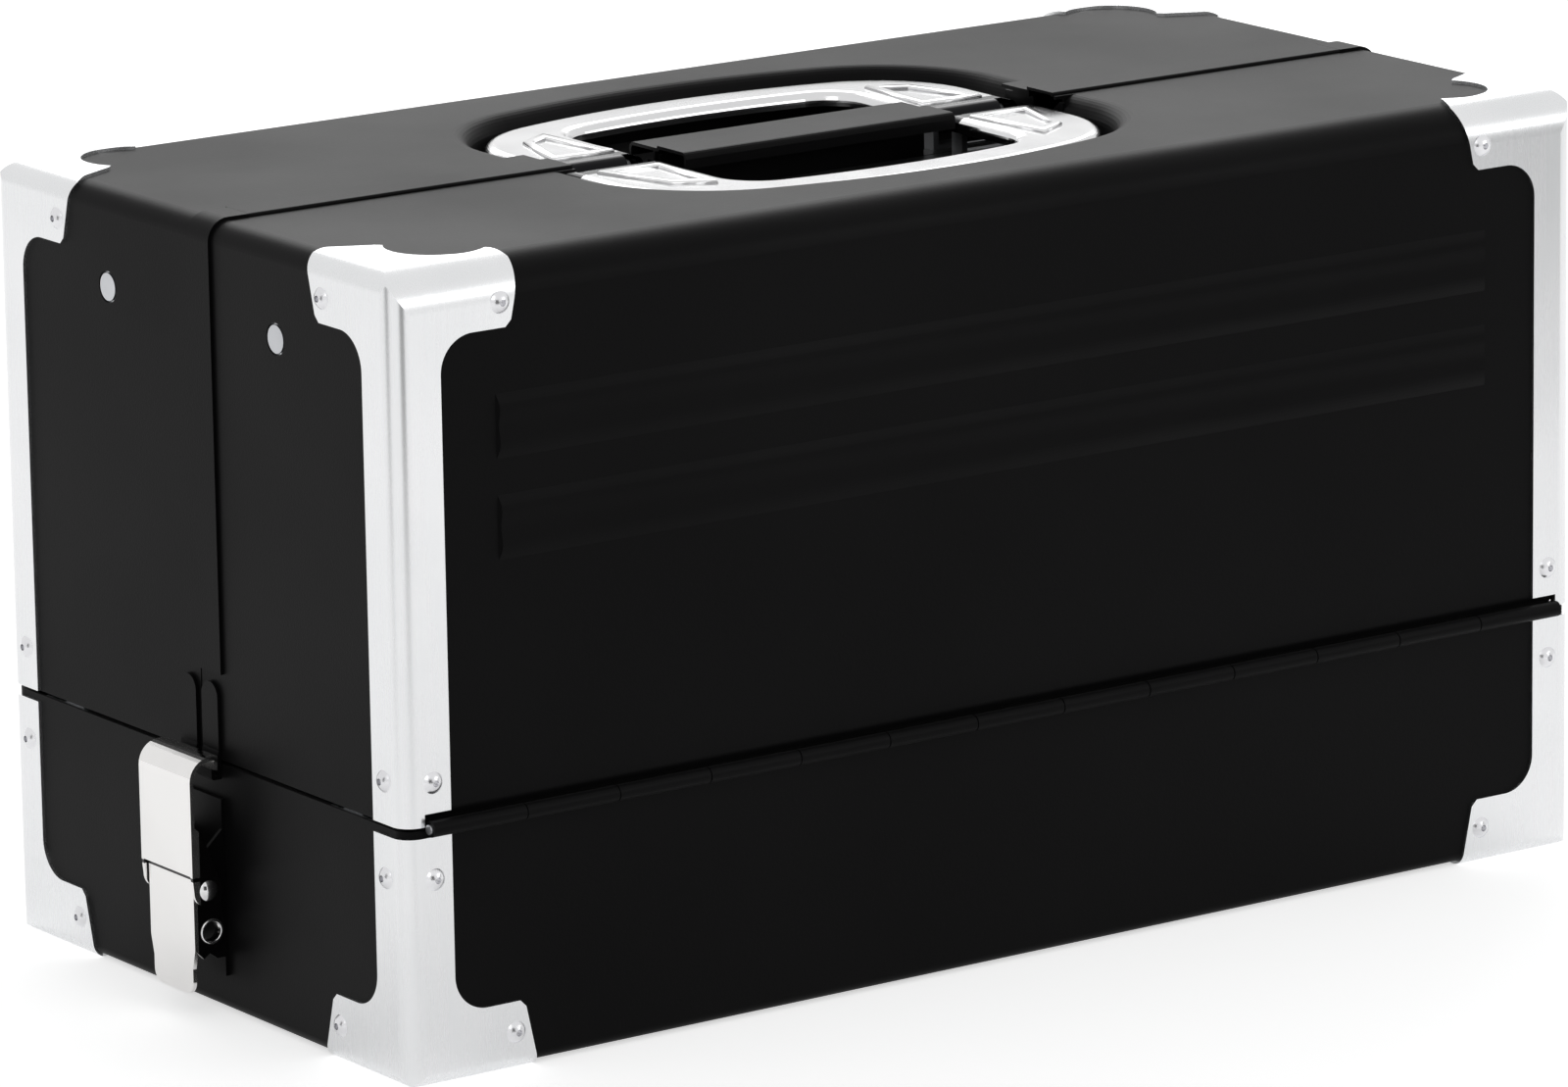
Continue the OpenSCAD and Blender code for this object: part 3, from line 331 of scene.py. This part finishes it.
def latch_metal():
    """Bright nickel, with painted shade on the arms and a painted shadow line at the hook's lip.
    """
    material = rolled_metal("latch_nickel", dull=(0.84, 0.83, 0.82), bright=(0.9, 0.89, 0.88),
                            roughness=0.16, stretch=(90.0, 90.0, 90.0), grain_depth=0.004 * MM)
    tree = material.node_tree
    along, across, height = place_in(tree)
    out = math_node(tree, "ABSOLUTE", along)
    # mask of the painted shade on the arms, which stands in for the black wall they mirror
    behind = math_node(tree, "LESS_THAN", out, arms_within * MM)
    beside = math_node(tree, "GREATER_THAN", math_node(tree, "ABSOLUTE", across),
                       arms_outside * MM)
    below = math_node(tree, "LESS_THAN", height, arms_below * MM)
    arms = math_node(tree, "MULTIPLY", math_node(tree, "MULTIPLY", behind, beside), below)
    # the painted shade stops short of the padlock hole and leaves a ring of bright nickel there
    hole_x = math_node(tree, "SUBTRACT", out, padlock_x * MM)
    hole_z = math_node(tree, "SUBTRACT", height, padlock_z * MM)
    from_hole = math_node(tree, "SQRT", math_node(
        tree, "ADD", math_node(tree, "MULTIPLY", hole_x, hole_x),
        math_node(tree, "MULTIPLY", hole_z, hole_z)))
    arms = math_node(tree, "MULTIPLY", arms,
                     math_node(tree, "GREATER_THAN", from_hole, bare_ring_r * MM))
    # painted shadow line on the lever, where the hook's lip ends over it
    from_joint = math_node(tree, "ABSOLUTE", math_node(tree, "SUBTRACT", height, joint_z * MM))
    joint = math_node(tree, "LESS_THAN", from_joint, joint_half_w * MM)
    paint_shade(tree, math_node(tree, "MAXIMUM", arms, joint), latch_painted_shade)
    return material


def put_in_order(mesh):
    """Sort a spun shape's points and faces by place, because a spin leaves them in any order."""
    for parts, place in ((mesh.verts, lambda v: v.co[:]),
                         (mesh.faces, lambda f: f.calc_center_median()[:])):
        rank = {part: i for i, part in enumerate(sorted(parts, key=place))}
        parts.sort(key=rank.get)


def padlock_rims(sign):
    """Rims on the two arms of a lever: a bead spun round, stood up and set over its hole."""
    mesh = bmesh.new()
    quarter_turn = Matrix.Rotation(math.pi / 2, 3, "X")
    for arm in (-1, 1):
        bead = bmesh.ops.create_circle(mesh, segments=12, radius=rim_bead_r * MM)["verts"]
        bmesh.ops.translate(mesh, vec=(rim_r * MM, 0, 0), verts=bead)
        bmesh.ops.rotate(mesh, matrix=quarter_turn, verts=bead)
        bead_edges = list(dict.fromkeys(e for v in bead for e in v.link_edges))
        bmesh.ops.spin(mesh, geom=bead + bead_edges, cent=(0, 0, 0), axis=(0, 0, 1),
                       angle=math.tau, steps=40, use_merge=True)
        unplaced = [v for v in mesh.verts if abs(v.co.x) < padlock_x * MM / 2]
        bmesh.ops.rotate(mesh, matrix=quarter_turn, verts=unplaced)
        bmesh.ops.translate(mesh, vec=(sign * padlock_x * MM, arm * rim_y * MM, padlock_z * MM),
                            verts=unplaced)
    put_in_order(mesh)
    for f in mesh.faces:
        f.smooth = True
    return mesh


finish_nodes([f"{side}_latch_{part}" for side in sides for part in ("lever", "hook")],
             latch_metal())
finish_nodes(["left_hook_pins", "right_hook_pins"], bright_nickel)
for side, sign in (("left", -1), ("right", 1)):
    new_piece(f"{side}_padlock_rims", padlock_rims(sign), bright_nickel, f"{side}_lever")

# ---------------------------------------------------------------- pins, arms and brackets
# The pins and rods that things turn on, the arms that keep the trays level, and the brackets and
# anchors that carry them are plain steel under a dull zinc plate.
zinc_plate = rolled_metal("zinc_plate", dull=(0.5, 0.51, 0.53), bright=(0.62, 0.63, 0.65),
                          roughness=0.32, stretch=(200.0, 200.0, 200.0), grain_depth=0.01 * MM)
zinc_nodes = ["latch_pivot_rivets", "arm_anchors"]
zinc_nodes += [f"{lid}_{part}" for lid in lids for part in
               ("hinge_pin", "handle_brackets", "handle_rods", "tray_pivots", "tray_pins",
                "left_arm", "right_arm")]
finish_nodes(zinc_nodes, zinc_plate)

# ---------------------------------------------------------------- seam laps
# A narrow strip of the same painted sheet is spot welded inside each end of the rear lid. It laps
# behind the front lid's end, so that no light comes through the seam.
lap_x, lap_t, lap_round = 214.42, 0.5, 0.2
lap_y, lap_z = (-2.2, 2.6), (79.0, 233.0)


def seam_lap(sign):
    """Flat strip with its upright edges rounded, set inside one end of the case."""
    mesh = bmesh.new()
    bmesh.ops.create_cube(mesh, size=1)
    bmesh.ops.scale(mesh, vec=(lap_t * MM, (lap_y[1] - lap_y[0]) * MM, (lap_z[1] - lap_z[0]) * MM),
                    verts=mesh.verts)
    uprights = [e for e in mesh.edges if e.verts[0].co.z * e.verts[1].co.z < 0]
    bmesh.ops.bevel(mesh, geom=uprights, offset=lap_round * MM, segments=3, affect="EDGES",
                    profile=0.5, material=-1)
    bmesh.ops.translate(mesh, vec=(sign * (lap_x - lap_t / 2) * MM, sum(lap_y) / 2 * MM,
                                   sum(lap_z) / 2 * MM), verts=mesh.verts)
    return mesh


for side, sign in (("left", -1), ("right", 1)):
    new_piece(f"{side}_seam_lap", seam_lap(sign), black_coat, "rear_lid")

# ---------------------------------------------------------------- trays
# The trays are folded from thin steel sheet and dipped in a smoother satin black, so their
# pebbles are shallow and their colour a little lighter than the case's.
satin_black = powder_coat("satin_black", dark=(0.02, 0.02, 0.022), polished=(0.028, 0.028, 0.03),
                          roughness=0.4, pebble_depth=0.01 * MM)
finish_nodes(["front_tray", "rear_tray"], satin_black)

# ---------------------------------------------------------------- camera
# A long lens stands well off the front left corner, about a third of the way round to the left
# end, and looks slightly down on the closed case.
camera_at = Vector((-1588.73, -2262.09, 777.9)) * MM
turn = math.radians(-34.98989657)
lift = math.radians(13.59613712)
roll = math.radians(-0.881139)
back = Vector((math.sin(turn) * math.cos(lift), -math.cos(turn) * math.cos(lift), math.sin(lift)))
level = Vector((0, 0, 1)).cross(back).normalized()
upright = back.cross(level)
right = math.cos(roll) * level + math.sin(roll) * upright
up = -math.sin(roll) * level + math.cos(roll) * upright
lens = bpy.data.cameras.new("camera")
lens.sensor_width = 36
lens.lens = 212.847
lens.shift_x = -0.0006
lens.shift_y = -0.0017
lens.clip_end = 20
camera = bpy.data.objects.new("camera", lens)
camera.matrix_world = Matrix((
    (right.x, up.x, back.x, camera_at.x),
    (right.y, up.y, back.y, camera_at.y),
    (right.z, up.z, back.z, camera_at.z),
    (0, 0, 0, 1)))
bpy.context.collection.objects.link(camera)
bpy.context.scene.camera = camera

# ---------------------------------------------------------------- floor and light
# The case stands on a pale paper floor under soft studio lamps. The paper and the world show
# white to the camera and in the metal, and the cards are there for the metal alone. Their places
# and sizes are in metres.
floor_size = 12
paper_shade, paper_roughness = 0.9, 0.9
paper_seen, paper_mirrored = 0.6, 0.4
sky_seen, sky_mirrored, sky_light = 1.0, 0.85, 0.45
card_black, card_pale = 0.03, 0.8
near_corner = (-0.21, -0.11, 0.2)


def seen_or_mirrored(tree, seen, mirrored):
    """One strength for what the camera sees directly, another for what bright metal shows."""
    rays = tree.nodes.new("ShaderNodeLightPath")
    return math_node(tree, "ADD", math_node(tree, "MULTIPLY", rays.outputs["Is Camera Ray"], seen),
                     math_node(tree, "MULTIPLY", rays.outputs["Is Glossy Ray"], mirrored))


def paper(name, shade):
    """Matt paper of one shade."""
    material, tree, shader = new_material(name)
    shader.inputs["Base Color"].default_value = (shade, shade, shade, 1)
    shader.inputs["Roughness"].default_value = paper_roughness
    return material, tree, shader


def floor_paper():
    """Paper that glows a little where it is seen, so that it shows white and keeps the shadow."""
    material, tree, shader = paper("paper_white", paper_shade)
    shader.inputs["Emission Color"].default_value = (1, 1, 1, 1)
    glow = seen_or_mirrored(tree, paper_seen, paper_mirrored)
    tree.links.new(glow, shader.inputs["Emission Strength"])
    return material


bpy.ops.mesh.primitive_plane_add(size=floor_size)
floor = bpy.context.object
floor.name = "floor"
floor.data.materials.append(floor_paper())

world = bpy.data.worlds.new("studio")
world.use_nodes = True
sky = world.node_tree.nodes["Background"]
sky.inputs["Color"].default_value = (1, 1, 1, 1)
sky_level = math_node(world.node_tree, "MAXIMUM",
                      seen_or_mirrored(world.node_tree, sky_seen, sky_mirrored), sky_light)
world.node_tree.links.new(sky_level, sky.inputs["Strength"])
bpy.context.scene.world = world


def facing(at, aim, axis):
    """Turn that points an axis from one place to another."""
    return (Vector(aim) - Vector(at)).to_track_quat(axis, "Y")


def standing_card(name, shade, at, aim, width, height):
    """Card that only bright metal shows, which draws a line along the guards' bends."""
    mesh = bmesh.new()
    bmesh.ops.create_grid(mesh, x_segments=1, y_segments=1, size=0.5)
    bmesh.ops.scale(mesh, vec=(width, height, 1), verts=mesh.verts)
    stand = Matrix.Translation(at) @ facing(at, aim, "Z").to_matrix().to_4x4()
    bmesh.ops.transform(mesh, matrix=stand, verts=mesh.verts)
    data = bpy.data.meshes.new(name)
    mesh.to_mesh(data)
    mesh.free()
    data.materials.append(paper(name, shade)[0])
    card = bpy.data.objects.new(name, data)
    bpy.context.collection.objects.link(card)
    card.visible_camera = card.visible_diffuse = card.visible_shadow = False


standing_card("front_card", card_black, (-0.42, -0.88, 0.22), near_corner, 0.36, 0.5)
standing_card("left_card", card_black, (-1.1, -0.04, 0.22), near_corner, 0.22, 0.5)
standing_card("right_card", card_pale, (0.62, -0.66, 0.2), (0.21, -0.11, 0.15), 0.3, 0.45)


def soft_lamp(name, at, aim, size, power):
    """Rectangular lamp, its size in metres and its power in watts."""
    lamp = bpy.data.lights.new(name, "AREA")
    lamp.shape = "RECTANGLE"
    lamp.size, lamp.size_y = size
    lamp.energy = power
    holder = bpy.data.objects.new(name, lamp)
    holder.location = at
    holder.rotation_euler = facing(at, aim, "-Z").to_euler()
    bpy.context.collection.objects.link(holder)


soft_lamp("key_lamp", at=(-1.6, -1.2, 1.5), aim=(0, 0, 0.12), size=(1.2, 1.2), power=4)
soft_lamp("back_lamp", at=(1.0, 1.8, 1.5), aim=(0, 0, 0.2), size=(2.2, 1.4), power=17)
soft_lamp("rib_lamp", at=(0.95, -1.35, 0.75), aim=(0, -0.1, 0.16), size=(0.9, 0.35), power=2)

bpy.context.scene.view_settings.view_transform = "Standard"
